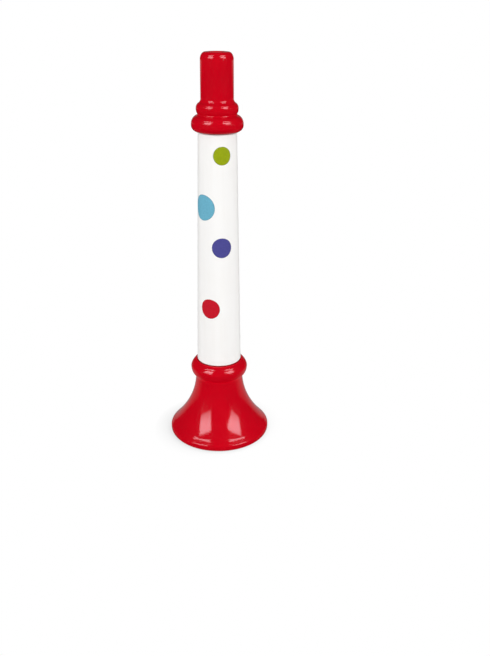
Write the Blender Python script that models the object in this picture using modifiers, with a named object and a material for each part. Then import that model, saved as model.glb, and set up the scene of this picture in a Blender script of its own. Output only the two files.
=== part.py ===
"""Wooden toy trumpet: a turned bell, a tapered tube, a turned mouthpiece and the reed unit that sounds it.

The trumpet stands on its bell. The rim of the bell lies on z = 0 and the axis of the trumpet is Z.
"""
import math

import bmesh
import bpy
from mathutils import Matrix, Vector
from mathutils.geometry import interpolate_bezier

MM = 0.001

# Lengths along the axis; with the two glue lines they make the whole trumpet
BELL_HEIGHT = 43.6 * MM
TUBE_LENGTH = 119.8 * MM
MOUTHPIECE_LENGTH = 36.0 * MM

# Room left for glue between seated pieces, and for paint and play between the reed's pieces
GLUE_GAP = 0.3 * MM

# The bore drilled through the bell and the tube, and the small chamfer on drilled and turned edges
BORE_D = 10.0 * MM
EDGE_BREAK = 0.5 * MM

# Bell: rim, flare, neck, collar bead and the shallow dish inside
BELL_MOUTH_D = 54.2 * MM
RIM_LIP_TURN = math.radians(43.5)
RIM_UPPER_R = 1.4 * MM
RIM_BAND_H = 1.0 * MM
RIM_LOWER_R = 1.75 * MM
RIM_FLAT_W = 1.65 * MM
RIM_INNER_R = 0.8 * MM
FLARE_RIM_PULL = 5.9 * MM
FLARE_NECK_PULL = 15.6 * MM
NECK_D = 25.3 * MM
COLLAR_D = 30.4 * MM
COLLAR_UPPER_H = 4.3 * MM
COLLAR_LOWER_H = 4.5 * MM
DISH_DEPTH = 8.6 * MM

# Tube: a cone with a tenon at each end
TUBE_BELL_D = 23.4 * MM
TUBE_MOUTH_D = 18.9 * MM
BELL_TENON_D = 16.0 * MM
BELL_TENON_L = 12.0 * MM
MOUTH_TENON_D = 14.0 * MM
MOUTH_TENON_L = 8.0 * MM

# Mouthpiece: barrel, small bead, groove and flange outside; reed chamber and blow hole inside
BARREL_D = 15.8 * MM
BARREL_END_W = 2.4 * MM
BARREL_END_H = 3.6 * MM
BEAD_D = 20.4 * MM
BEAD_UPPER_H = 2.8 * MM
BEAD_LOWER_H = 3.1 * MM
GROOVE_D = 17.9 * MM
FLANGE_D = 25.2 * MM
FLANGE_UPPER_H = 4.0 * MM
FLANGE_BAND_H = 1.0 * MM
FLANGE_LOWER_H = 2.9 * MM
CHAMBER_D = 10.8 * MM
REED_HEADROOM = 3.0 * MM
BLOW_HOLE_D = 7.0 * MM
DRILL_POINT = math.radians(59.0)

# Reed unit: bush, shallot, tongue and wedge
BUSH_FLANGE_T = 2.0 * MM
BUSH_SPIGOT_L = 7.3 * MM
SHALLOT_D = 6.2 * MM
SHALLOT_WALL = 0.7 * MM
SHALLOT_FLAT_Y = 0.8 * MM
SHALLOT_RISE = 15.0 * MM
SHALLOT_STEM_L = 3.0 * MM
SEAT_L = 4.6 * MM
TONGUE_T = 0.3 * MM
TONGUE_TIP_BACK = 0.4 * MM
TONGUE_OPENING = 1.0 * MM
WEDGE_PROUD = 1.0 * MM
HINGE_BELOW_BUSH_TOP = 1.9 * MM

# How full a bead's quarter is: 1 is a true quarter ellipse, less is leaner and more is squarer
COLLAR_UPPER_FULLNESS = 0.72
COLLAR_LOWER_FULLNESS = 1.1
BEAD_UPPER_FULLNESS = 0.9
FLANGE_FULLNESS = 0.95

# Facets round a full turn, and along one arc of a profile
TURN_SEGMENTS = 48
REED_SEGMENTS = 32
BEAD_STEPS = 6
FLARE_STEPS = 14
ROUND_STEPS = 6
DISH_STEPS = 8
TONGUE_STEPS = 12
RIM_EDGE_STEPS = 3
SHARP_ANGLE = math.radians(40.0)
MERGE = 0.001 * MM

# Heights of the seats, counted up from the rim, and the depths of the reed's layers across the axis
TUBE_FOOT_Z = BELL_HEIGHT + GLUE_GAP
TUBE_HEAD_Z = TUBE_FOOT_Z + TUBE_LENGTH
MOUTHPIECE_FOOT_Z = TUBE_HEAD_Z + GLUE_GAP
TOP_Z = MOUTHPIECE_FOOT_Z + MOUTHPIECE_LENGTH
BUSH_SEAT_Z = TUBE_HEAD_Z + MOUTH_TENON_L + GLUE_GAP
BUSH_TOP_Z = BUSH_SEAT_Z + BUSH_FLANGE_T
CHAMBER_FOOT_Z = BUSH_TOP_Z + GLUE_GAP
SHALLOT_TOP_Z = BUSH_TOP_Z + SHALLOT_RISE
CHAMBER_TOP_Z = SHALLOT_TOP_Z + REED_HEADROOM
SEAT_FOOT_Z = BUSH_TOP_Z - SEAT_L
SHALLOT_FOOT_Z = SEAT_FOOT_Z - SHALLOT_STEM_L
TONGUE_BACK_Y = SHALLOT_FLAT_Y + GLUE_GAP
TONGUE_FRONT_Y = TONGUE_BACK_Y + TONGUE_T
HINGE_Y = TONGUE_BACK_Y + TONGUE_T / 2
HINGE_Z = BUSH_TOP_Z - HINGE_BELOW_BUSH_TOP

# Radii of the sockets and of what fills them
BORE_R = BORE_D / 2
BELL_SOCKET_R = BELL_TENON_D / 2 + GLUE_GAP
MOUTH_SOCKET_R = MOUTH_TENON_D / 2 + GLUE_GAP
BUSH_FLANGE_R = MOUTH_SOCKET_R - GLUE_GAP
BUSH_SPIGOT_R = BORE_R - GLUE_GAP
BUSH_HOLE_R = SHALLOT_D / 2 + GLUE_GAP

# The tongue is as wide as the bush's hole lets it be at its front face
TONGUE_W = 2 * math.sqrt((BUSH_HOLE_R - GLUE_GAP) ** 2 - TONGUE_FRONT_Y ** 2)


def clear_scene():
    """Remove what the file opened with."""
    for obj in list(bpy.data.objects):
        bpy.data.objects.remove(obj, do_unlink=True)


def new_collection(name):
    """A collection linked to the scene."""
    collection = bpy.data.collections.new(name)
    bpy.context.scene.collection.children.link(collection)
    return collection


def material(name, color, roughness, metallic=0.0, coat=0.0):
    """A plain Principled material."""
    made = bpy.data.materials.new(name)
    made.use_nodes = True
    shader = made.node_tree.nodes["Principled BSDF"]
    shader.inputs["Base Color"].default_value = (*color, 1.0)
    shader.inputs["Roughness"].default_value = roughness
    shader.inputs["Metallic"].default_value = metallic
    shader.inputs["Coat Weight"].default_value = coat
    made.diffuse_color = (*color, 1.0)
    return made


def arc(center, radius, start, end, steps=ROUND_STEPS):
    """Points on a circle in the profile plane, from one angle to another."""
    points = []
    for step in range(steps + 1):
        angle = start + (end - start) * step / steps
        points.append(Vector((center[0] + radius * math.cos(angle), center[1] + radius * math.sin(angle))))
    return points


def rounded(start, end, corner, fullness=1.0, steps=ROUND_STEPS):
    """A quarter of an ellipse, lean or full, from one point to another, bulging towards their corner."""
    center = start + end - corner
    points = []
    for step in range(1, steps):
        angle = math.pi / 2 * step / steps
        from_start = math.cos(angle) ** (1 / fullness)
        from_end = math.sin(angle) ** (1 / fullness)
        points.append(center + (start - center) * from_start + (end - center) * from_end)
    return [start, *points, end]


def bead(top, bottom, crest_r, heights, fullness=(1.0, 1.0)):
    """A turned bead: a quarter out from the top point, an upright band if any, a quarter in to the bottom.

    The heights and the fullness are those of the upper and of the lower quarter.
    """
    high = Vector((crest_r, top.y - heights[0]))
    low = Vector((crest_r, bottom.y + heights[1]))
    upper = rounded(top, high, Vector((crest_r, top.y)), fullness[0], BEAD_STEPS)
    lower = rounded(low, bottom, Vector((crest_r, bottom.y)), fullness[1], BEAD_STEPS)
    has_band = high.y - low.y > MERGE
    return upper + (lower if has_band else lower[1:])


def link_mesh(name, mesh, collection, finish):
    """An object for a mesh, in a collection, with its material and smooth shading."""
    obj = bpy.data.objects.new(name, mesh)
    collection.objects.link(obj)
    if finish is not None:
        mesh.materials.append(finish)
    mesh.shade_smooth()
    mesh.set_sharp_from_angle(angle=SHARP_ANGLE)
    return obj


def turned(name, profile, collection, finish, segments=TURN_SEGMENTS):
    """Turn a profile of (radius, height) points about Z.

    The profile runs down the outer side and back up the inner side. Where both ends lie on the axis
    it is left open, and otherwise it closes on itself.
    """
    count = len(profile)
    on_axis = profile[0].x == 0.0 and profile[-1].x == 0.0
    edges = [(index, index + 1) for index in range(count - 1)]
    if not on_axis:
        edges.append((count - 1, 0))
    outline = bpy.data.meshes.new(name + "_profile")
    outline.from_pydata([(point.x, 0.0, point.y) for point in profile], edges, [])
    blank = bpy.data.objects.new(name + "_blank", outline)
    collection.objects.link(blank)
    screw = blank.modifiers.new("Turn", "SCREW")
    screw.axis = "Z"
    screw.angle = math.tau
    screw.steps = segments
    screw.render_steps = segments
    screw.use_merge_vertices = True
    screw.merge_threshold = MERGE
    depsgraph = bpy.context.evaluated_depsgraph_get()
    mesh = bpy.data.meshes.new_from_object(blank.evaluated_get(depsgraph))
    mesh.name = name
    bpy.data.objects.remove(blank, do_unlink=True)
    bpy.data.meshes.remove(outline)
    return link_mesh(name, mesh, collection, finish)


def cutter_box(name, low, high, collection):
    """A hidden box between two corners, for a Boolean cut."""
    mesh = bpy.data.meshes.new(name)
    shape = bmesh.new()
    bmesh.ops.create_cube(shape, size=1.0)
    size = high - low
    bmesh.ops.transform(
        shape,
        matrix=Matrix.Translation((low + high) / 2) @ Matrix.Diagonal((*size, 1.0)),
        verts=shape.verts,
    )
    shape.to_mesh(mesh)
    shape.free()
    box = bpy.data.objects.new(name, mesh)
    collection.objects.link(box)
    box.hide_render = True
    box.display_type = "WIRE"
    return box


def cut_away(obj, cutter):
    """Cut one object by another with a Boolean."""
    boolean = obj.modifiers.new("Cut " + cutter.name, "BOOLEAN")
    boolean.operation = "DIFFERENCE"
    boolean.solver = "EXACT"
    boolean.object = cutter


def neck_top():
    """Where the collar bead ends and the neck begins, in the profile plane."""
    return Vector((NECK_D / 2, BELL_HEIGHT - COLLAR_UPPER_H - COLLAR_LOWER_H))


def flare_outline():
    """The bell's outside from the foot of the collar down over the rim's lip to its flat."""
    neck = neck_top()
    mouth_r = BELL_MOUTH_D / 2
    upper_center = Vector((mouth_r - RIM_UPPER_R, RIM_LOWER_R + RIM_BAND_H))
    lower_center = Vector((mouth_r - RIM_LOWER_R, RIM_LOWER_R))
    lip = arc(upper_center, RIM_UPPER_R, RIM_LIP_TURN, 0.0)
    lip += arc(lower_center, RIM_LOWER_R, 0.0, -math.pi / 2)
    along_lip = Vector((math.sin(RIM_LIP_TURN), -math.cos(RIM_LIP_TURN)))
    flare = interpolate_bezier(
        neck,
        neck - Vector((0.0, FLARE_NECK_PULL)),
        lip[0] - along_lip * FLARE_RIM_PULL,
        lip[0],
        FLARE_STEPS,
    )
    return [point.to_2d() for point in flare[1:-1]] + lip


def dish_outline():
    """The inside of the bell: from the rim's flat over its inner edge and up a round dish to the bore."""
    flat_inner = BELL_MOUTH_D / 2 - RIM_LOWER_R - RIM_FLAT_W
    edge = arc(Vector((flat_inner, RIM_INNER_R)), RIM_INNER_R, -math.pi / 2, -math.pi, RIM_EDGE_STEPS)
    rim = edge[-1]
    depth = DISH_DEPTH - rim.y
    sphere_r = (rim.x ** 2 + depth ** 2) / (2 * depth)
    sphere_z = DISH_DEPTH - sphere_r
    reach = BORE_R + EDGE_BREAK
    dish = []
    for step in range(1, DISH_STEPS + 1):
        radius = rim.x + (reach - rim.x) * step / DISH_STEPS
        dish.append(Vector((radius, sphere_z + math.sqrt(sphere_r ** 2 - radius ** 2))))
    bore_edge = Vector((BORE_R, dish[-1].y + EDGE_BREAK))
    return edge + dish + [bore_edge]


def make_bell(collection, finish):
    """The turned bell: collar bead, neck, flare, rim, dish, bore and the socket for the tube."""
    crown = Vector((TUBE_BELL_D / 2, BELL_HEIGHT))
    collar = bead(
        crown,
        neck_top(),
        COLLAR_D / 2,
        (COLLAR_UPPER_H, COLLAR_LOWER_H),
        (COLLAR_UPPER_FULLNESS, COLLAR_LOWER_FULLNESS),
    )
    socket_foot = TUBE_FOOT_Z - BELL_TENON_L - GLUE_GAP
    socket = [
        Vector((BORE_R, socket_foot)),
        Vector((BELL_SOCKET_R, socket_foot)),
        Vector((BELL_SOCKET_R, BELL_HEIGHT)),
    ]
    return turned("bell", collar + flare_outline() + dish_outline() + socket, collection, finish)


def make_body_tube(collection, finish):
    """The conical tube with a chamfered tenon at each end and the bore right through it."""
    head_r = MOUTH_TENON_D / 2
    foot_r = BELL_TENON_D / 2
    head_z = TUBE_HEAD_Z + MOUTH_TENON_L
    foot_z = TUBE_FOOT_Z - BELL_TENON_L
    profile = [
        Vector((head_r - EDGE_BREAK, head_z)),
        Vector((head_r, head_z - EDGE_BREAK)),
        Vector((head_r, TUBE_HEAD_Z)),
        Vector((TUBE_MOUTH_D / 2, TUBE_HEAD_Z)),
        Vector((TUBE_BELL_D / 2, TUBE_FOOT_Z)),
        Vector((foot_r, TUBE_FOOT_Z)),
        Vector((foot_r, foot_z + EDGE_BREAK)),
        Vector((foot_r - EDGE_BREAK, foot_z)),
        Vector((BORE_R, foot_z)),
        Vector((BORE_R, head_z)),
    ]
    return turned("body_tube", profile, collection, finish)


def make_mouthpiece(collection, finish):
    """The turned mouthpiece: barrel, bead and flange, with the blow hole, reed chamber and socket."""
    barrel_r = BARREL_D / 2
    hole_r = BLOW_HOLE_D / 2
    chamber_r = CHAMBER_D / 2
    foot = Vector((TUBE_MOUTH_D / 2, MOUTHPIECE_FOOT_Z))
    groove = Vector((GROOVE_D / 2, foot.y + FLANGE_LOWER_H + FLANGE_BAND_H + FLANGE_UPPER_H))
    bead_top = Vector((barrel_r, groove.y + BEAD_LOWER_H + BEAD_UPPER_H))
    end_face = Vector((barrel_r - BARREL_END_W, TOP_Z))
    end_foot = Vector((barrel_r, TOP_Z - BARREL_END_H))
    outside = rounded(end_face, end_foot, Vector((barrel_r, TOP_Z)))
    outside += bead(
        bead_top, groove, BEAD_D / 2, (BEAD_UPPER_H, BEAD_LOWER_H), (BEAD_UPPER_FULLNESS, 1.0)
    )
    outside += bead(
        groove, foot, FLANGE_D / 2, (FLANGE_UPPER_H, FLANGE_LOWER_H), (FLANGE_FULLNESS, FLANGE_FULLNESS)
    )[1:]
    point_z = CHAMBER_TOP_Z + (chamber_r - hole_r) / math.tan(DRILL_POINT)
    inside = [
        Vector((MOUTH_SOCKET_R, MOUTHPIECE_FOOT_Z)),
        Vector((MOUTH_SOCKET_R, CHAMBER_FOOT_Z)),
        Vector((chamber_r, CHAMBER_FOOT_Z)),
        Vector((chamber_r, CHAMBER_TOP_Z)),
        Vector((hole_r, point_z)),
        Vector((hole_r, TOP_Z - EDGE_BREAK)),
        Vector((hole_r + EDGE_BREAK, TOP_Z)),
    ]
    return turned("mouthpiece", outside + inside, collection, finish)


def make_reed_bush(collection, finish):
    """The flanged bush, held between the tube's tenon and the shoulder in the mouthpiece."""
    foot_z = BUSH_SEAT_Z - BUSH_SPIGOT_L
    profile = [
        Vector((BUSH_FLANGE_R - EDGE_BREAK, BUSH_TOP_Z)),
        Vector((BUSH_FLANGE_R, BUSH_TOP_Z - EDGE_BREAK)),
        Vector((BUSH_FLANGE_R, BUSH_SEAT_Z)),
        Vector((BUSH_SPIGOT_R, BUSH_SEAT_Z)),
        Vector((BUSH_SPIGOT_R, foot_z + EDGE_BREAK)),
        Vector((BUSH_SPIGOT_R - EDGE_BREAK, foot_z)),
        Vector((BUSH_HOLE_R, foot_z)),
        Vector((BUSH_HOLE_R, BUSH_TOP_Z)),
    ]
    return turned("reed_bush", profile, collection, finish, REED_SEGMENTS)


def make_reed_shallot(collection, cutters, finish):
    """The shallot: a tube closed at the top, cut flat on one side so that its bore lies open."""
    outer_r = SHALLOT_D / 2
    inner_r = outer_r - SHALLOT_WALL
    cap_foot = SHALLOT_TOP_Z - SHALLOT_WALL
    profile = [
        Vector((0.0, SHALLOT_TOP_Z)),
        Vector((outer_r - EDGE_BREAK, SHALLOT_TOP_Z)),
        Vector((outer_r, SHALLOT_TOP_Z - EDGE_BREAK)),
        Vector((outer_r, SHALLOT_FOOT_Z)),
        Vector((inner_r, SHALLOT_FOOT_Z)),
        Vector((inner_r, cap_foot)),
        Vector((0.0, cap_foot)),
    ]
    shallot = turned("reed_shallot", profile, collection, finish, REED_SEGMENTS)
    flat = cutter_box(
        "shallot_flat",
        Vector((-SHALLOT_D, SHALLOT_FLAT_Y, SEAT_FOOT_Z)),
        Vector((SHALLOT_D, SHALLOT_D, SHALLOT_TOP_Z + SHALLOT_D)),
        cutters,
    )
    cut_away(shallot, flat)
    return shallot


def make_reed_tongue(collection, finish, pivot):
    """The springy tongue: flat where the wedge holds it, then curling away from the shallot."""
    foot_z = SEAT_FOOT_Z + GLUE_GAP
    tip_z = SHALLOT_TOP_Z - TONGUE_TIP_BACK
    free_z = BUSH_TOP_Z + WEDGE_PROUD
    mesh = bpy.data.meshes.new("reed_tongue")
    strip = bmesh.new()
    bmesh.ops.create_grid(strip, x_segments=1, y_segments=TONGUE_STEPS, size=0.5)
    for vertex in strip.verts:
        z = foot_z + (tip_z - foot_z) * (vertex.co.y + 0.5)
        free = max(0.0, (z - free_z) / (tip_z - free_z))
        y = HINGE_Y + TONGUE_OPENING * free ** 2
        vertex.co = Vector((TONGUE_W * vertex.co.x, y, z)) - pivot.location
    bmesh.ops.recalc_face_normals(strip, faces=strip.faces)
    strip.to_mesh(mesh)
    strip.free()
    tongue = link_mesh("reed_tongue", mesh, collection, finish)
    tongue.parent = pivot
    plate = tongue.modifiers.new("Thickness", "SOLIDIFY")
    plate.thickness = TONGUE_T
    plate.offset = 0.0
    plate.use_even_offset = True
    return tongue


def make_reed_wedge(collection, cutters, finish):
    """The wedge that presses the tongue's root against the shallot, filling the rest of the bush's hole."""
    outer_r = BUSH_HOLE_R - GLUE_GAP
    top_z = BUSH_TOP_Z + WEDGE_PROUD
    profile = [
        Vector((0.0, top_z)),
        Vector((outer_r - EDGE_BREAK, top_z)),
        Vector((outer_r, top_z - EDGE_BREAK)),
        Vector((outer_r, SEAT_FOOT_Z + GLUE_GAP)),
        Vector((0.0, SEAT_FOOT_Z + GLUE_GAP)),
    ]
    wedge = turned("reed_wedge", profile, collection, finish, REED_SEGMENTS)
    face_y = TONGUE_FRONT_Y + GLUE_GAP
    front = cutter_box(
        "wedge_front",
        Vector((-SHALLOT_D, -SHALLOT_D, SEAT_FOOT_Z - SHALLOT_D)),
        Vector((SHALLOT_D, face_y, top_z + SHALLOT_D)),
        cutters,
    )
    cut_away(wedge, front)
    return wedge


def main():
    """Build the trumpet."""
    clear_scene()
    parts = new_collection("toy_trumpet")
    cutters = new_collection("cutters")

    red = material("red_lacquer", (0.58, 0.002, 0.010), 0.12, coat=1.0)
    white = material("white_lacquer", (0.88, 0.87, 0.85), 0.25, coat=0.6)
    ivory = material("ivory_plastic", (0.78, 0.72, 0.58), 0.4)
    brass = material("brass", (0.78, 0.57, 0.25), 0.28, metallic=1.0)
    spring_brass = material("spring_brass", (0.85, 0.66, 0.33), 0.2, metallic=1.0)
    beech = material("bare_beech", (0.66, 0.46, 0.28), 0.6)

    hinge = bpy.data.objects.new("reed_hinge", None)
    hinge.location = (0.0, HINGE_Y, HINGE_Z)
    hinge.empty_display_size = TONGUE_W
    parts.objects.link(hinge)

    make_bell(parts, red)
    make_body_tube(parts, white)
    make_mouthpiece(parts, red)
    make_reed_bush(parts, ivory)
    make_reed_shallot(parts, cutters, brass)
    make_reed_tongue(parts, spring_brass, hinge)
    make_reed_wedge(parts, cutters, beech)


main()
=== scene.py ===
"""Looks of the wooden toy trumpet: fine turned surfaces, lacquers, printed dots, floor, light and camera."""

import math

import bmesh
import bpy
from mathutils import Matrix, Vector


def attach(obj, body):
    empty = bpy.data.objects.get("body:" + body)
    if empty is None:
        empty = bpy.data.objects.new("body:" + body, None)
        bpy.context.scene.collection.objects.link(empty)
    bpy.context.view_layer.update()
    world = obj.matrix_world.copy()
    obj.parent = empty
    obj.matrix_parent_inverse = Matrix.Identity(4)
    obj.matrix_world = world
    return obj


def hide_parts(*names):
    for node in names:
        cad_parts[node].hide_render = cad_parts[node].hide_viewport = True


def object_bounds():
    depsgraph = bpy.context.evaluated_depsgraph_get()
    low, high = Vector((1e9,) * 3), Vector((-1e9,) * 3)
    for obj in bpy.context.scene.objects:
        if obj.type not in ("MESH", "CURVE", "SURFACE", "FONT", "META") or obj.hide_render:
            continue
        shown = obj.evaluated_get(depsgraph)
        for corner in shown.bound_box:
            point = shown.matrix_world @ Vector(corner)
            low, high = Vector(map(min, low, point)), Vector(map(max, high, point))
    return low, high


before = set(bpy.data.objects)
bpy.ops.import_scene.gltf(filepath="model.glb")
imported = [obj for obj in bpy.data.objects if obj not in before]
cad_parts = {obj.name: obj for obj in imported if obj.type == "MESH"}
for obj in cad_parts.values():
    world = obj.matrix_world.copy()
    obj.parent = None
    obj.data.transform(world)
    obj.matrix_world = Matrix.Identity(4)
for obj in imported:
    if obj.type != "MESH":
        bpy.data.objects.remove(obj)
cad_low, cad_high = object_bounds()

MM = 0.001

# The photograph's frame and the camera that took it: place, angle below level, roll and focal length
IMAGE_H = 656
SENSOR = 36.0
CAMERA_AT = Vector((13.98, -360.05, 220.24)) * MM
CAMERA_PITCH = math.radians(23.665)
CAMERA_ROLL = math.radians(0.446)
FOCAL_PX = 734.4
AXIS_ABOVE_MIDDLE_PX = 2.5
NEAR_CLIP = 0.01

# Fine outlines: which bends of a CAD outline are corners, how these are eased, and the steps along the rest
CORNER_TURN = math.radians(36.0)
STRAIGHT_RATIO = 2.5
STRAIGHT_TURN = math.radians(1.0)
FINE_STEP = 0.55 * MM
LONG_STEP = 5.0 * MM
SUPPORT = 0.25 * MM
SUPPORTED_EDGE = 4 * SUPPORT
EDGE_ROUND = 0.35 * MM
COVE_ROUND = 1.6 * MM
ROUND_SHARE = 0.4
ROUND_STEPS = 6
TURN_SEGMENTS = 144
SAME = 1e-6
SPOT_DIGITS = 7

# How far along an outline its bends add up to a cove or an edge, and how far a seam between pieces reaches
CAVITY_REACH = 0.9 * MM
SEAM_REACH = 1.1 * MM

# Pieces that aren't turned: which bends are flat, and the round along their sharp edges
FLAT_TURN = math.radians(0.5)
REED_EASE = 0.03 * MM
EASE_STEPS = 2
EASE_PROFILE = 0.5

# The lacquer is built up a little over the shoulder of the bell's lip: its middle, way out, reach and depth
SHOULDER = Vector((25.45, 4.95)) * MM
SHOULDER_WAY = Vector((0.69, 0.72))
SHOULDER_REACH = 1.7 * MM
SHOULDER_BUILD = 0.05 * MM

# How far the lacquers reach into the holes; the wood is bare beyond
SOCKET_PAINT_R = 8.5 * MM
SOCKET_FOOT_Z = 30.0 * MM
TENON_PAINT_R = 8.2 * MM
MOUTH_PAINT_R = 7.4 * MM
BLOW_HOLE_PAINT_DEPTH = 3.0 * MM

# Each finish below has a colour, the shares of it or the other colours that vary it, how glossy it is, the
# span of its roughness and the depth of its relief. Most values of a noise lie within NOISE_SPAN
NOISE_SPAN = (0.3, 0.7)

# Red lacquer: the shares of its colour in coves, on undersides, in seams and on edges, and the spans of
# hollowness and of slope that count as these. All are painted light: the coves and the bell's undersides are
# lighter in place of bounced light, the seams and the mouthpiece's undersides are darker as painted shade,
# and the edges are a little lighter as a painted highlight
RED = (0.570, 0.0004, 0.0090)
RED_MOTTLE = (0.95, 1.04)
BELL_COVE_PAINTED_LIGHT = 1.55
MOUTHPIECE_COVE_PAINTED_LIGHT = 1.05
BELL_UNDERSIDE_PAINTED_LIGHT = 1.25
MOUTHPIECE_UNDERSIDE_PAINTED_SHADE = 0.9
RED_SEAM_PAINTED_SHADE = 0.30
RED_EDGE_PAINTED_HIGHLIGHT = 1.05
COVE_SPAN = (0.1, 0.9)
SEAM_SPAN = (1.0, 1.9)
EDGE_SPAN = (-0.4, -1.0)
UNDERSIDE_SPAN = (-0.25, -0.75)
DULL_SPAN = (-0.55, -0.15)
RED_GLOSS = (0.06, 0.5)
RED_ROUGHNESS = (0.09, 0.14)
RED_GRAIN = 0.003 * MM
RED_PEEL = 0.001 * MM

# White lacquer, with the fibres of the wood and pale clouds in it
WHITE = (0.930, 0.918, 0.900)
WHITE_FIBRE = (0.905, 0.888, 0.862)
WHITE_CLOUD = (0.938, 0.930, 0.918)
WHITE_GLOSS = 0.3
WHITE_ROUGHNESS = (0.285, 0.34)
WHITE_GRAIN = 0.016 * MM
WHITE_PEEL = 0.005 * MM

# Printed ink, whatever its colour
INK_MOTTLE = (0.93, 1.05)
INK_RIM = 0.60
INK_GLOSS = 0.2
INK_ROUGHNESS = (0.29, 0.38)
INK_RELIEF = 0.004 * MM

# Bare beech
BEECH = (0.66, 0.46, 0.28)
BEECH_PORE = (0.50, 0.31, 0.17)
BEECH_FLECK = (0.36, 0.20, 0.10)
BEECH_ROUGHNESS = (0.55, 0.75)
BEECH_RELIEF = 0.04 * MM

# Brass of the shallot, and springy brass of the tongue: clean, tarnished, and roughness
BRASS = ((0.78, 0.57, 0.25), (0.50, 0.33, 0.13), (0.29, 0.40))
SPRING_BRASS = ((0.85, 0.66, 0.33), (0.66, 0.46, 0.20), (0.16, 0.26))
BRASS_RELIEF = 0.003 * MM

# Ivory plastic
IVORY = (0.76, 0.70, 0.55)
IVORY_CLOUD = (0.80, 0.74, 0.61)
IVORY_ROUGHNESS = (0.34, 0.46)
IVORY_RELIEF = 0.006 * MM

# Printed dots: colour, angle round the tube from the front in degrees, height and diameter in millimetres
DOTS = (
    ("dot_green", (0.302, 0.376, 0.004), 15.25, 153.98, 8.75),
    ("dot_sky", (0.145, 0.430, 0.575), -42.75, 128.57, 12.8),
    ("dot_violet", (0.073, 0.070, 0.290), 12.25, 108.69, 10.15),
    ("dot_red", (0.560, 0.006, 0.020), -22.0, 76.0, 10.6),
    ("dot_crimson", (0.520, 0.008, 0.028), -164.0, 153.9, 8.6),
    ("dot_lilac", (0.800, 0.540, 0.730), 139.0, 128.5, 12.4),
    ("dot_orange", (0.920, 0.220, 0.003), -165.0, 108.5, 9.8),
    ("dot_yellow", (0.960, 0.720, 0.004), 174.0, 70.0, 10.6),
)
DOT_PROUD = 0.05 * MM
DOT_SUNK = 0.08 * MM
DOT_EDGE = 0.45 * MM
DOT_RINGS = 10
DOT_EDGE_RINGS = 2
DOT_SEGMENTS = 72

# Two soft lamps in front, by azimuth from the front and elevation as seen from the trumpet's middle; an area
# lamp of LAMP_WATTS per square metre is as bright as white
TRUMPET_MIDDLE = Vector((0.0, 0.0, 0.09))
LAMPS = (("left", -54.0), ("right", 60.0))
LAMP_ELEVATION = 17.0
LAMP_SPREAD = (40.0, 24.0)
LAMP_DISTANCE = 2.5
LAMP_LIGHT = 4.6
LAMP_WATTS = 4.0

# Two bright windows that gloss shows, each a tall pane and a low one above it: corners by azimuth and
# elevation, and the elevations between which the glow goes from faint to full
WINDOWS = (
    ("left", ((-64.8, 17.0), (-30.1, 14.5), (-25.0, 38.8), (-57.0, 38.4))),
    ("left_upper", ((-72.0, 38.8), (-27.5, 50.1), (-27.5, 56.0), (-72.0, 45.0))),
    ("right", ((47.5, 13.7), (68.6, 20.3), (64.4, 38.6), (27.6, 37.6), (29.0, 32.0))),
    ("right_upper", ((32.5, 49.7), (75.0, 39.6), (75.0, 45.7), (32.5, 56.0))),
)
WINDOW_DISTANCE = 8.0
WINDOW_GLOW = 6.9
WINDOW_TINT = (1.0, 0.88, 0.95, 1.0)
WINDOW_FADE = (14.0, 27.0)
WINDOW_FAINT = 0.28

# A pale floor, with the reach, depth and lean of the trumpet's shadow, painted on it from ambient occlusion
FLOOR_RADIUS = 4.0
FLOOR_SEGMENTS = 96
FLOOR_COLOR = 0.62
SHADOW_REACH = 10.0 * MM
SHADOW_DEPTH = 0.42
SHADOW_LEAN = (0.35, -0.45, 0.82)
SHADOW_SAMPLES = 16

# A white surround. Gloss shows it and the floor dark on the camera's side, and pale far behind the trumpet;
# the floor close behind the trumpet is pale too
PLAIN_WHITE = (1.0, 1.0, 1.0, 1.0)
WORLD_FILL = 0.49
DARK_SIDE = 0.012
LIGHT_SIDE = 0.20
DARK_SIDE_FLOOR_Y = (1.2, 3.5)
DARK_SIDE_WORLD_Y = (0.84, 0.99)
NEAR_FLOOR = (0.04, 0.34)
NEAR_FLOOR_Y = (-0.02, 0.03)
NEAR_GLOSS = 0.34


def turn_between(before, after):
    """Angle from one direction to the next in the outline's plane, positive to the left."""
    cross = before.x * after.y - before.y * after.x
    return math.atan2(cross, before.dot(after))


def cad_outline(node):
    """Closed outline of a turned CAD node where it crosses y = 0, x > 0, running down its outer side."""
    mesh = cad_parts[node].data
    spots = {}
    for vertex in mesh.vertices:
        if abs(vertex.co.y) < SAME and vertex.co.x > SAME:
            spots[vertex.index] = (round(vertex.co.x, SPOT_DIGITS), round(vertex.co.z, SPOT_DIGITS))
    beside = {}
    for edge in mesh.edges:
        first, second = (spots.get(index) for index in edge.vertices)
        if first and second and first != second:
            beside.setdefault(first, set()).add(second)
            beside.setdefault(second, set()).add(first)
    widest = max(beside)
    outline = [widest, min(beside[widest], key=lambda spot: spot[1])]
    while True:
        onward = next(spot for spot in beside[outline[-1]] if spot != outline[-2])
        if onward == widest:
            break
        outline.append(onward)
    return [Vector(spot) for spot in outline]


def cone_ends():
    """The two ends of the tube's cone, the longest straight of its outline outside its bore."""
    outline = cad_outline("body_tube")
    pairs = zip(outline, outline[1:] + outline[:1])
    outer = [pair for pair in pairs if min(pair[0].x, pair[1].x) > TENON_PAINT_R]
    return max(outer, key=lambda pair: (pair[1] - pair[0]).length)


def bends_of(outline):
    """How much a closed outline turns at each of its points."""
    bends = []
    for index, spot in enumerate(outline):
        after = outline[(index + 1) % len(outline)]
        bends.append(turn_between(spot - outline[index - 1], after - spot))
    return bends


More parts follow.
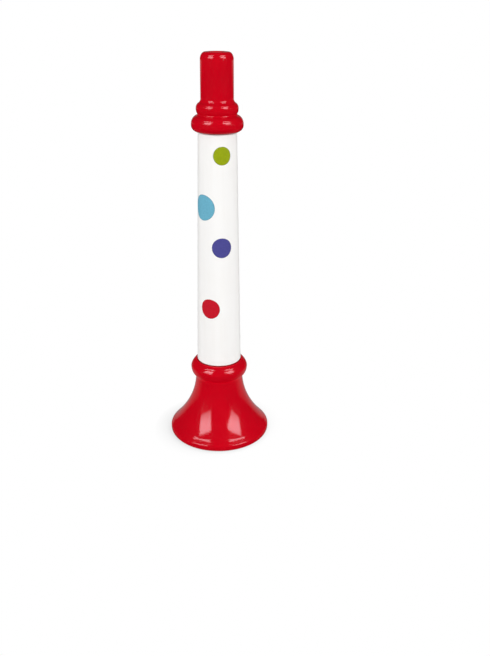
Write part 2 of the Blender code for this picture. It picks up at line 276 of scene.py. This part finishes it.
def stretches(outline):
    """The outline split at its corners: lists of points, each starting where the last one ended."""
    count = len(outline)
    corners = [index for index, bend in enumerate(bends_of(outline)) if abs(bend) > CORNER_TURN]
    split = []
    for start, end in zip(corners, corners[1:] + [corners[0] + count]):
        split.append([outline[index % count] for index in range(start, end + 1)])
    return split


def is_straight(edge, beside):
    """Whether an edge is a flat, a cylinder, or much longer than the edge beside it."""
    return min(abs(edge.x), abs(edge.y)) < SAME or edge.length > STRAIGHT_RATIO * beside.length


def directions(points):
    """Direction of a smooth curve at each of its points, along any straight that ends there."""
    edges = [after - before for before, after in zip(points, points[1:])]
    inner = []
    for before, after in zip(edges, edges[1:]):
        if is_straight(before, after):
            mean = before
        elif is_straight(after, before):
            mean = after
        else:
            mean = before.normalized() * after.length + after.normalized() * before.length
        inner.append(mean.normalized())
    first = edges[0].normalized()
    last = edges[-1].normalized()
    if inner:
        first = (2 * first.dot(inner[0])) * first - inner[0]
        last = (2 * last.dot(inner[-1])) * last - inner[-1]
    return [first] + inner + [last]


def refined(points):
    """A smooth curve through the points of one stretch, in fine steps."""
    along = directions(points)
    fine = [points[0]]
    for index in range(len(points) - 1):
        start, end = points[index], points[index + 1]
        chord = end - start
        pull_out, pull_in = along[index] * chord.length, along[index + 1] * chord.length
        turn = abs(turn_between(along[index], chord)) + abs(turn_between(chord, along[index + 1]))
        step = LONG_STEP if turn < STRAIGHT_TURN else FINE_STEP
        steps = max(1, math.ceil(chord.length / step))
        for part in range(1, steps + 1):
            t = part / steps
            fine.append(
                start * (2 * t ** 3 - 3 * t ** 2 + 1)
                + pull_out * (t ** 3 - 2 * t ** 2 + t)
                + end * (3 * t ** 2 - 2 * t ** 3)
                + pull_in * (t ** 3 - t ** 2)
            )
    return fine


def length_of(points):
    """Length along a row of points."""
    return sum((after - before).length for before, after in zip(points, points[1:]))


def cut_start(points, length):
    """The row of points without this length at its start."""
    for index in range(len(points) - 1):
        edge = points[index + 1] - points[index]
        if edge.length > length:
            return [points[index] + edge * (length / edge.length)] + points[index + 1:]
        length -= edge.length
    return points[-1:]


def round_reaches(coarse, rows):
    """How far the round at the end of each row reaches along it and along the next: far in curved coves."""
    reaches = []
    for index, before in enumerate(rows):
        onward = (index + 1) % len(rows)
        after = rows[onward]
        turn = turn_between(before[-1] - before[-2], after[1] - after[0])
        is_curved = max(len(coarse[index]), len(coarse[onward])) > 2
        wish = COVE_ROUND if turn > 0 and is_curved else EDGE_ROUND
        reaches.append(min(wish, ROUND_SHARE * length_of(before), ROUND_SHARE * length_of(after)))
    return reaches


def rounded(rows, reaches):
    """The rows joined to one closed outline, with a round at each corner."""
    opened = []
    for index, row in enumerate(rows):
        open_start = cut_start(row, reaches[index - 1])
        opened.append(cut_start(open_start[::-1], reaches[index])[::-1])
    outline = []
    for index, row in enumerate(opened):
        corner = rows[index][-1]
        after = opened[(index + 1) % len(opened)][0]
        outline += row
        for part in range(1, ROUND_STEPS):
            t = part / ROUND_STEPS
            outline.append(row[-1] * (1 - t) ** 2 + corner * (2 * t * (1 - t)) + after * t ** 2)
    return outline


def supported(outline):
    """The outline with a point close to both ends of each long edge, which keeps its shading flat."""
    dense = []
    for index, point in enumerate(outline):
        after = outline[(index + 1) % len(outline)]
        edge = after - point
        dense.append(point)
        if edge.length > SUPPORTED_EDGE:
            dense.append(point + edge.normalized() * SUPPORT)
            dense.append(after - edge.normalized() * SUPPORT)
    return dense


def fine_outline(node):
    """The CAD node's outline with smooth curves, eased edges and coves, and short steps beside long ones."""
    coarse = stretches(cad_outline(node))
    rows = [refined(points) for points in coarse]
    return supported(rounded(rows, round_reaches(coarse, rows)))


def built_up(outline):
    """The bell's outline with a gentle swelling over the shoulder of its lip."""
    grown = []
    for spot in outline:
        away = min(1.0, (spot - SHOULDER).length / SHOULDER_REACH)
        grown.append(spot + SHOULDER_WAY * (SHOULDER_BUILD * math.cos(away * math.pi / 2) ** 2))
    return grown


def bend_near(outline, bends, index):
    """The sum of an outline's bends within a short reach of one of its points."""
    total = bends[index]
    for way in (-1, 1):
        gone, at = 0.0, index
        while gone < CAVITY_REACH:
            onward = (at + way) % len(outline)
            gone += (outline[onward] - outline[at]).length
            total += bends[onward] if gone < CAVITY_REACH else 0.0
            at = onward
    return total


def hollowness(outline, seams):
    """How strongly each point of an outline lies in a cove, from 0 to 1, or on an edge, down to -1.

    Close to a seam between two pieces it goes from 1 to 2.
    """
    bends = bends_of(outline)
    found = []
    for index, spot in enumerate(outline):
        bend = max(-1.0, min(1.0, bend_near(outline, bends, index) / (math.pi / 2)))
        away = min((spot - seam).length for seam in seams)
        found.append(2.0 - away / SEAM_REACH if away < SEAM_REACH else bend)
    return found


def lathe(name, outline, bare, seams):
    """Turn a closed outline about Z; bare says which points of it lie on unpainted wood."""
    count = len(outline)
    points, faces, slots = [], [], []
    for index in range(TURN_SEGMENTS):
        angle = math.tau * index / TURN_SEGMENTS
        points += [(spot.x * math.cos(angle), spot.x * math.sin(angle), spot.y) for spot in outline]
    for index in range(TURN_SEGMENTS):
        here, there = index * count, (index + 1) % TURN_SEGMENTS * count
        for spot in range(count):
            below = (spot + 1) % count
            faces.append((here + spot, here + below, there + below, there + spot))
            slots.append(int(bare(outline[spot]) and bare(outline[below])))
    mesh = bpy.data.meshes.new(name)
    mesh.from_pydata(points, [], faces)
    mesh.polygons.foreach_set("material_index", slots)
    hollow = mesh.attributes.new("hollow", "FLOAT", "POINT")
    hollow.data.foreach_set("value", hollowness(outline, seams) * TURN_SEGMENTS)
    mesh.shade_smooth()
    return mesh


def eased_copy(name, node):
    """A copy of a CAD node that isn't turned, with its sharp edges eased and its rounds smooth."""
    shape = bmesh.new()
    shape.from_mesh(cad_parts[node].data)
    bmesh.ops.remove_doubles(shape, verts=shape.verts, dist=SAME)
    bmesh.ops.dissolve_limit(shape, angle_limit=FLAT_TURN, verts=shape.verts, edges=shape.edges)
    sharp = [edge for edge in shape.edges if edge.calc_face_angle(0.0) > CORNER_TURN]
    bmesh.ops.bevel(
        shape, geom=sharp, offset=REED_EASE, segments=EASE_STEPS, profile=EASE_PROFILE, affect="EDGES"
    )
    mesh = bpy.data.meshes.new(name)
    shape.to_mesh(mesh)
    shape.free()
    mesh.shade_smooth()
    return mesh


def on_cone(cone, angle, height, reach, bearing, lift):
    """A point by reach and bearing from a place on the tube's cone, lifted off the cone."""
    head, foot = cone
    slope = (head.x - foot.x) / (head.y - foot.y)
    lean = math.cos(math.atan(slope))
    z = height + reach * math.sin(bearing) * lean
    r = foot.x + slope * (z - foot.y)
    around = angle + reach * math.cos(bearing) / r
    r += lift / lean
    return (r * math.sin(around), -r * math.cos(around), z)


def dot_reach(ring, radius):
    """How far a ring of a dot lies from its middle, in even steps, with short ones over the soft edge."""
    if ring < DOT_RINGS - DOT_EDGE_RINGS:
        return radius * ring / DOT_RINGS
    return radius - (DOT_RINGS - ring) * DOT_EDGE / DOT_EDGE_RINGS


def dot_points(cone, angle, height, radius):
    """Points of a dot's raised skin and of its underside in the lacquer, and how near the rim each is."""
    points, rims = [], []
    for is_skin in (True, False):
        for ring in range(1, DOT_RINGS + 1):
            reach = dot_reach(ring, radius)
            inward = min(1.0, (radius - reach) / DOT_EDGE)
            lift = DOT_PROUD * math.sqrt(1.0 - (1.0 - inward) ** 2) if is_skin else -DOT_SUNK
            for step in range(DOT_SEGMENTS):
                bearing = math.tau * step / DOT_SEGMENTS
                points.append(on_cone(cone, angle, height, reach, bearing, lift))
                rims.append(1.0 - inward ** 0.5)
        points.append(on_cone(cone, angle, height, 0.0, 0.0, DOT_PROUD if is_skin else -DOT_SUNK))
        rims.append(0.0)
    return points, rims


def dot_faces():
    """Faces of a dot's skin, the same ones turned over for its underside, and a brim between the two."""
    layer = DOT_RINGS * DOT_SEGMENTS + 1
    brim = (DOT_RINGS - 1) * DOT_SEGMENTS
    faces = []
    for step in range(DOT_SEGMENTS):
        onward = (step + 1) % DOT_SEGMENTS
        for ring in range(DOT_RINGS - 1):
            inner, outer = ring * DOT_SEGMENTS, (ring + 1) * DOT_SEGMENTS
            faces.append((inner + step, outer + step, outer + onward, inner + onward))
            faces.append(tuple(layer + index for index in reversed(faces[-1])))
        faces.append((layer - 1, step, onward))
        faces.append((2 * layer - 1, layer + onward, layer + step))
        faces.append((brim + step, layer + brim + step, layer + brim + onward, brim + onward))
    return faces


def dot_mesh(name, cone, angle, height, radius):
    """A thin printed dot that follows the cone: a raised skin with a soft edge, closed under the lacquer."""
    points, rims = dot_points(cone, angle, height, radius)
    mesh = bpy.data.meshes.new(name)
    mesh.from_pydata(points, [], dot_faces())
    rim = mesh.attributes.new("rim", "FLOAT", "POINT")
    rim.data.foreach_set("value", rims)
    mesh.shade_smooth()
    return mesh


def add(tree, kind, sockets=None, **settings):
    """A node with these settings and socket values; a socket value may be another node's output."""
    made = tree.nodes.new(kind)
    for key, value in settings.items():
        setattr(made, key, value)
    for label, value in (sockets or {}).items():
        if isinstance(value, bpy.types.NodeSocket):
            tree.links.new(value, made.inputs[label])
        else:
            made.inputs[label].default_value = value
    return made


def new_material(name):
    """A material, its node tree and its Principled shader."""
    made = bpy.data.materials.new(name)
    made.use_nodes = True
    return made, made.node_tree, made.node_tree.nodes["Principled BSDF"]


def empty_material(name):
    """A material and its node tree without nodes."""
    made = bpy.data.materials.new(name)
    made.use_nodes = True
    made.node_tree.nodes.clear()
    return made, made.node_tree


def noise(tree, scale, along=1.0, detail=3.0):
    """Noise in the piece's own space, in features per metre, with this share of them along its axis."""
    space = add(tree, "ShaderNodeTexCoord")
    stretch = {"Vector": space.outputs["Object"], "Scale": (1.0, 1.0, along)}
    scaled = add(tree, "ShaderNodeMapping", stretch)
    pattern = {"Vector": scaled.outputs["Vector"], "Scale": scale, "Detail": detail}
    return add(tree, "ShaderNodeTexNoise", pattern).outputs["Fac"]


def spread(tree, value, span, to=(0.0, 1.0)):
    """A value mapped from one span to another, and held within it."""
    ends = {"From Min": span[0], "From Max": span[1], "To Min": to[0], "To Max": to[1]}
    return add(tree, "ShaderNodeMapRange", {"Value": value, **ends}).outputs["Result"]


def mixed(tree, amount, first, second):
    """Two colours mixed by an amount."""
    made = tree.nodes.new("ShaderNodeMix")
    made.data_type = "RGBA"
    tree.links.new(amount, made.inputs["Factor"])
    for label, value in (("A", first), ("B", second)):
        socket = next(s for s in made.inputs if s.name == label and s.type == "RGBA")
        if isinstance(value, bpy.types.NodeSocket):
            tree.links.new(value, socket)
        else:
            socket.default_value = (*value, 1.0)
    return next(s for s in made.outputs if s.type == "RGBA")


def bumped(tree, height, depth, normal=None):
    """Relief of this depth, over another one if given."""
    sockets = {"Height": height, "Distance": depth, "Strength": 1.0}
    if normal:
        sockets["Normal"] = normal
    return add(tree, "ShaderNodeBump", sockets).outputs["Normal"]


def largest(tree, first, second):
    """The larger of two values."""
    return add(tree, "ShaderNodeMath", {0: first, 1: second}, operation="MAXIMUM").outputs[0]


def product(tree, first, second):
    """Two values multiplied."""
    return add(tree, "ShaderNodeMath", {0: first, 1: second}, operation="MULTIPLY").outputs[0]


def shaded(color, share):
    """A colour made darker or lighter."""
    return tuple(channel * share for channel in color)


def mottled(tree, pattern, color, shares):
    """A colour that varies between two shares of itself."""
    return mixed(tree, pattern, *(shaded(color, share) for share in shares))


def connect(tree, shader, outputs):
    """Lead outputs to the shader's sockets of these names."""
    for label, output in outputs.items():
        tree.links.new(output, shader.inputs[label])


def red_lacquer(name, cove, underside):
    """Deep gloss lacquer on turned wood, dull on the undersides, with painted light and shade in its colour.
    """
    made, tree, shader = new_material(name)
    hollow = add(tree, "ShaderNodeAttribute", attribute_name="hollow").outputs["Fac"]
    normal = add(tree, "ShaderNodeTexCoord").outputs["Normal"]
    upward = add(tree, "ShaderNodeSeparateXYZ", {0: normal}).outputs["Z"]
    color = mottled(tree, spread(tree, noise(tree, scale=70.0), NOISE_SPAN), RED, RED_MOTTLE)
    # Painted light in the colour: lighter in coves and under the bell in place of bounced light, painted
    # shade under the mouthpiece and in seams, and a faint painted highlight on edges
    places = (
        (upward, UNDERSIDE_SPAN, underside),
        (hollow, COVE_SPAN, cove),
        (hollow, SEAM_SPAN, RED_SEAM_PAINTED_SHADE),
        (hollow, EDGE_SPAN, RED_EDGE_PAINTED_HIGHLIGHT),
    )
    for value, span, share in places:
        color = mixed(tree, spread(tree, value, span), color, shaded(RED, share))
    smudge = noise(tree, scale=160.0, detail=5.0)
    grain = bumped(tree, noise(tree, scale=420.0, along=0.05), RED_GRAIN)
    peel = bumped(tree, noise(tree, scale=900.0, detail=1.0), RED_PEEL, grain)
    gloss = spread(tree, upward, DULL_SPAN, to=RED_GLOSS)
    roughness = spread(tree, smudge, (0.35, 0.75), to=RED_ROUGHNESS)
    outputs = {"Base Color": color, "Specular IOR Level": gloss, "Roughness": roughness, "Normal": peel}
    connect(tree, shader, outputs)
    return made


def white_lacquer():
    """Satin white lacquer on turned wood, with a breath of the grain in its colour and its surface."""
    made, tree, shader = new_material("white_lacquer")
    shader.inputs["Specular IOR Level"].default_value = WHITE_GLOSS
    fibre = noise(tree, scale=500.0, along=0.03, detail=4.0)
    color = mixed(tree, spread(tree, fibre, (0.45, 0.75)), WHITE, WHITE_FIBRE)
    color = mixed(tree, spread(tree, noise(tree, scale=45.0), NOISE_SPAN), color, WHITE_CLOUD)
    roughness = spread(tree, noise(tree, scale=220.0), NOISE_SPAN, to=WHITE_ROUGHNESS)
    grain = bumped(tree, fibre, WHITE_GRAIN)
    peel = bumped(tree, noise(tree, scale=1000.0, detail=1.0), WHITE_PEEL, grain)
    connect(tree, shader, {"Base Color": color, "Roughness": roughness, "Normal": peel})
    return made


def printed_ink(name, color):
    """Printed ink, a little uneven, and darker where it is squeezed out along the edge of the print."""
    made, tree, shader = new_material(name)
    shader.inputs["Specular IOR Level"].default_value = INK_GLOSS
    rim = add(tree, "ShaderNodeAttribute", attribute_name="rim").outputs["Fac"]
    uneven = spread(tree, noise(tree, scale=1400.0, detail=4.0), (0.35, 0.65))
    toned = mixed(tree, rim, mottled(tree, uneven, color, INK_MOTTLE), shaded(color, INK_RIM))
    roughness = spread(tree, noise(tree, scale=800.0), NOISE_SPAN, to=INK_ROUGHNESS)
    relief = bumped(tree, noise(tree, scale=2200.0, detail=2.0), INK_RELIEF)
    connect(tree, shader, {"Base Color": toned, "Roughness": roughness, "Normal": relief})
    return made


def bare_beech():
    """Bare beech: pale fibres along the axis, darker pores and short ray flecks."""
    made, tree, shader = new_material("bare_beech")
    fibre = noise(tree, scale=900.0, along=0.04, detail=6.0)
    fleck = noise(tree, scale=1500.0, along=0.25, detail=2.0)
    color = mixed(tree, spread(tree, fibre, (0.35, 0.70)), BEECH, BEECH_PORE)
    color = mixed(tree, spread(tree, fleck, (0.62, 0.72)), color, BEECH_FLECK)
    roughness = spread(tree, fibre, NOISE_SPAN, to=BEECH_ROUGHNESS)
    relief = bumped(tree, fibre, BEECH_RELIEF)
    connect(tree, shader, {"Base Color": color, "Roughness": roughness, "Normal": relief})
    return made


def metal(name, clean, tarnish, roughness):
    """Drawn or rolled brass: fine lines along it and patches of tarnish."""
    made, tree, shader = new_material(name)
    shader.inputs["Metallic"].default_value = 1.0
    patch = noise(tree, scale=300.0, detail=5.0)
    lines = noise(tree, scale=4000.0, along=0.01, detail=2.0)
    toned = mixed(tree, spread(tree, patch, (0.5, 0.75)), clean, tarnish)
    uneven = spread(tree, lines, NOISE_SPAN, to=roughness)
    relief = bumped(tree, lines, BRASS_RELIEF)
    connect(tree, shader, {"Base Color": toned, "Roughness": uneven, "Normal": relief})
    return made


def ivory_plastic():
    """Moulded ivory plastic with a fine sparked texture."""
    made, tree, shader = new_material("ivory_plastic")
    cloud = spread(tree, noise(tree, scale=250.0), NOISE_SPAN)
    color = mixed(tree, cloud, IVORY, IVORY_CLOUD)
    fine = noise(tree, scale=5000.0, detail=2.0)
    roughness = spread(tree, fine, NOISE_SPAN, to=IVORY_ROUGHNESS)
    relief = bumped(tree, fine, IVORY_RELIEF)
    connect(tree, shader, {"Base Color": color, "Roughness": roughness, "Normal": relief})
    return made


def bell_bare(spot):
    """Whether a point of the bell's outline lies in its socket."""
    return spot.x < SOCKET_PAINT_R and spot.y > SOCKET_FOOT_Z


def tube_bare(spot):
    """Whether a point of the tube's outline lies on its tenons or in its bore."""
    return spot.x < TENON_PAINT_R


def mouthpiece_bare(spot):
    """Whether a point of the mouthpiece's outline lies deep inside it."""
    return spot.x < MOUTH_PAINT_R and spot.y < cad_high.z - BLOW_HOLE_PAINT_DEPTH


def never_bare(spot):
    """For a piece of one material."""
    return False


def show(name, data):
    """An object of this name and data in the scene."""
    made = bpy.data.objects.new(name, data)
    bpy.context.scene.collection.objects.link(made)
    return made


def place(name, mesh, materials, node=None, body="trumpet"):
    """A piece made from a mesh, riding on a body, in place of a CAD node where one is named."""
    piece = show(name, mesh)
    for finish in materials:
        mesh.materials.append(finish)
    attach(piece, body)
    if node:
        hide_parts(node)
    return piece


def make_turnings(beech, cone):
    """The bell, the tube, the mouthpiece and the reed's bush; the seams lie at the ends of the cone."""
    bell_red = red_lacquer("red_lacquer", BELL_COVE_PAINTED_LIGHT, BELL_UNDERSIDE_PAINTED_LIGHT)
    mouth_red = red_lacquer("red_lacquer_mouthpiece", MOUTHPIECE_COVE_PAINTED_LIGHT, MOUTHPIECE_UNDERSIDE_PAINTED_SHADE)
    turnings = (
        ("bell", [bell_red, beech], "red_lacquer", bell_bare),
        ("body_tube", [white_lacquer(), beech], "white_lacquer", tube_bare),
        ("mouthpiece", [mouth_red, beech], "red_lacquer", mouthpiece_bare),
        ("reed_bush", [ivory_plastic()], "ivory_plastic", never_bare),
    )
    for node, materials, slot, bare in turnings:
        name = "fine_" + node
        outline = built_up(fine_outline(node)) if node == "bell" else fine_outline(node)
        place(name, lathe(name, outline, bare, cone), materials, node)


def make_reed(beech):
    """The shallot, the tongue that beats on it and the wedge that holds it."""
    reed = (
        ("reed_shallot", metal("brass", *BRASS), "brass", "trumpet"),
        ("reed_tongue", metal("spring_brass", *SPRING_BRASS), "spring_brass", "tongue"),
        ("reed_wedge", beech, "bare_beech", "trumpet"),
    )
    for node, finish, slot, body in reed:
        name = "fine_" + node
        piece = place(name, eased_copy(name, node), [finish], node, body)
        piece.modifiers.new("even_normals", "WEIGHTED_NORMAL")


def make_dots(cone):
    """The printed dots on the tube."""
    for name, color, angle, height, diameter in DOTS:
        mesh = dot_mesh(name, cone, math.radians(angle), height * MM, diameter * MM / 2)
        place(name, mesh, [printed_ink(name, color)])


def make_trumpet():
    """The turned pieces, the reed's pieces and the printed dots."""
    beech = bare_beech()
    cone = cone_ends()
    make_turnings(beech, cone)
    make_reed(beech)
    make_dots(cone)


def seen_directly(tree, path):
    """1 for what the camera sees, also in gloss and through glass, and 0 for light on its way."""
    gloss = largest(tree, path.outputs["Is Glossy Ray"], path.outputs["Is Transmission Ray"])
    return largest(tree, path.outputs["Is Camera Ray"], gloss)


def diffuse(tree, grey):
    """A plain grey diffuse shader."""
    return add(tree, "ShaderNodeBsdfDiffuse", {"Color": (grey, grey, grey, 1.0)}).outputs[0]


def floor_material():
    """White, with the trumpet's faint shadow painted from ambient occlusion; in gloss pale only behind it.
    """
    made, tree = empty_material("floor")
    path = add(tree, "ShaderNodeLightPath")
    spot = add(tree, "ShaderNodeTexCoord").outputs["Object"]
    depth = add(tree, "ShaderNodeSeparateXYZ", {0: spot}).outputs["Y"]
    away = add(tree, "ShaderNodeVectorMath", {0: spot}, operation="LENGTH").outputs["Value"]
    # The shadow is painted: the floor's white glow is dimmed by ambient occlusion, not by the lamps
    lean = add(tree, "ShaderNodeCombineXYZ", dict(enumerate(SHADOW_LEAN))).outputs[0]
    sheltered = {"Distance": SHADOW_REACH, "Normal": lean}
    open_sky = add(tree, "ShaderNodeAmbientOcclusion", sheltered, samples=SHADOW_SAMPLES).outputs["AO"]
    light = spread(tree, open_sky, (0.0, 1.0), to=(1.0 - SHADOW_DEPTH, 1.0))
    pale = add(tree, "ShaderNodeEmission", {"Strength": light}).outputs[0]
    beside = spread(tree, away, NEAR_FLOOR, to=(NEAR_GLOSS, 0.0))
    near = product(tree, beside, spread(tree, depth, NEAR_FLOOR_Y))
    in_gloss = largest(tree, spread(tree, depth, DARK_SIDE_FLOOR_Y), near)
    lit = largest(tree, in_gloss, path.outputs["Is Camera Ray"])
    seen = add(tree, "ShaderNodeMixShader", {0: lit, 1: diffuse(tree, DARK_SIDE), 2: pale}).outputs[0]
    direct = seen_directly(tree, path)
    both = add(tree, "ShaderNodeMixShader", {0: direct, 1: diffuse(tree, FLOOR_COLOR), 2: seen})
    add(tree, "ShaderNodeOutputMaterial", {"Surface": both.outputs[0]})
    return made


def make_floor():
    """A wide round floor under the trumpet."""
    rim = []
    for step in range(FLOOR_SEGMENTS):
        angle = math.tau * step / FLOOR_SEGMENTS
        rim.append((FLOOR_RADIUS * math.cos(angle), FLOOR_RADIUS * math.sin(angle), cad_low.z))
    mesh = bpy.data.meshes.new("floor")
    mesh.from_pydata(rim, [], [tuple(range(FLOOR_SEGMENTS))])
    mesh.materials.append(floor_material())
    floor = show("floor", mesh)


def make_world():
    """A plain soft fill; looked at, it is a white surround, and in gloss dark on the camera's side."""
    world = bpy.data.worlds.new("studio")
    world.use_nodes = True
    bpy.context.scene.world = world
    tree = world.node_tree
    tree.nodes.clear()
    path = add(tree, "ShaderNodeLightPath")
    way = add(tree, "ShaderNodeTexCoord").outputs["Generated"]
    depth = add(tree, "ShaderNodeSeparateXYZ", {0: way}).outputs["Y"]
    in_gloss = spread(tree, depth, DARK_SIDE_WORLD_Y, to=(DARK_SIDE, LIGHT_SIDE))
    lit = largest(tree, in_gloss, path.outputs["Is Camera Ray"])
    fill = add(tree, "ShaderNodeBackground", {"Color": PLAIN_WHITE, "Strength": WORLD_FILL})
    seen = add(tree, "ShaderNodeBackground", {"Color": PLAIN_WHITE, "Strength": lit})
    direct = seen_directly(tree, path)
    both = add(tree, "ShaderNodeMixShader", {0: direct, 1: fill.outputs[0], 2: seen.outputs[0]})
    add(tree, "ShaderNodeOutputWorld", {"Surface": both.outputs[0]})


def toward(azimuth, elevation):
    """Direction from the trumpet, by azimuth from its front to the right and elevation, in degrees."""
    around, up = math.radians(azimuth), math.radians(elevation)
    return Vector((math.sin(around) * math.cos(up), -math.cos(around) * math.cos(up), math.sin(up)))


def make_lamp(side, azimuth):
    """A soft lamp that lights the trumpet from its front."""
    name = "lamp_" + side
    width, height = (2 * LAMP_DISTANCE * math.tan(math.radians(angle / 2)) for angle in LAMP_SPREAD)
    data = bpy.data.lights.new(name, "AREA")
    data.shape = "RECTANGLE"
    data.size, data.size_y = width, height
    data.energy = LAMP_LIGHT * LAMP_WATTS * width * height
    lamp = show(name, data)
    way = toward(azimuth, LAMP_ELEVATION)
    turned = way.to_track_quat("Z", "Y").to_matrix().to_4x4()
    lamp.matrix_world = Matrix.Translation(TRUMPET_MIDDLE + way * LAMP_DISTANCE) @ turned
    lamp.visible_camera = False
    lamp.visible_glossy = False


def on_window(azimuth, elevation):
    """The point in this direction that is as far from the trumpet's middle as a window's corners."""
    return TRUMPET_MIDDLE + toward(azimuth, elevation) * WINDOW_DISTANCE


def window_material(name):
    """A glow that is fainter toward the window's foot."""
    made, tree = empty_material(name)
    spot = add(tree, "ShaderNodeTexCoord").outputs["Object"]
    height = add(tree, "ShaderNodeSeparateXYZ", {0: spot}).outputs["Z"]
    heights = [on_window(0.0, elevation).z for elevation in WINDOW_FADE]
    strength = spread(tree, height, heights, to=(WINDOW_FAINT * WINDOW_GLOW, WINDOW_GLOW))
    glow = add(tree, "ShaderNodeEmission", {"Color": WINDOW_TINT, "Strength": strength})
    add(tree, "ShaderNodeOutputMaterial", {"Surface": glow.outputs[0]})
    return made


def make_window(side, corners):
    """A bright pane that only gloss shows."""
    name = "window_" + side
    points = [on_window(*corner) for corner in corners]
    mesh = bpy.data.meshes.new(name)
    mesh.from_pydata(points, [], [tuple(range(len(points)))])
    mesh.materials.append(window_material(name))
    card = show(name, mesh)
    card.visible_camera = False
    card.visible_diffuse = False
    card.visible_shadow = False


def make_lights():
    """Two lamps and the panes of two windows, left and right of the camera."""
    for side, azimuth in LAMPS:
        make_lamp(side, azimuth)
    for side, corners in WINDOWS:
        make_window(side, corners)


def make_camera():
    """The camera at the photograph's place and angle."""
    data = bpy.data.cameras.new("camera")
    data.sensor_width = SENSOR
    data.lens = FOCAL_PX * SENSOR / IMAGE_H
    data.shift_y = -AXIS_ABOVE_MIDDLE_PX / IMAGE_H
    data.clip_start = NEAR_CLIP
    camera = show("camera", data)
    tilt = Matrix.Rotation(math.pi / 2 - CAMERA_PITCH, 4, "X")
    roll = Matrix.Rotation(CAMERA_ROLL, 4, "Z")
    camera.matrix_world = Matrix.Translation(CAMERA_AT) @ tilt @ roll
    bpy.context.scene.camera = camera


make_camera()
make_trumpet()
make_floor()
make_world()
make_lights()
bpy.context.scene.view_settings.view_transform = "Standard"
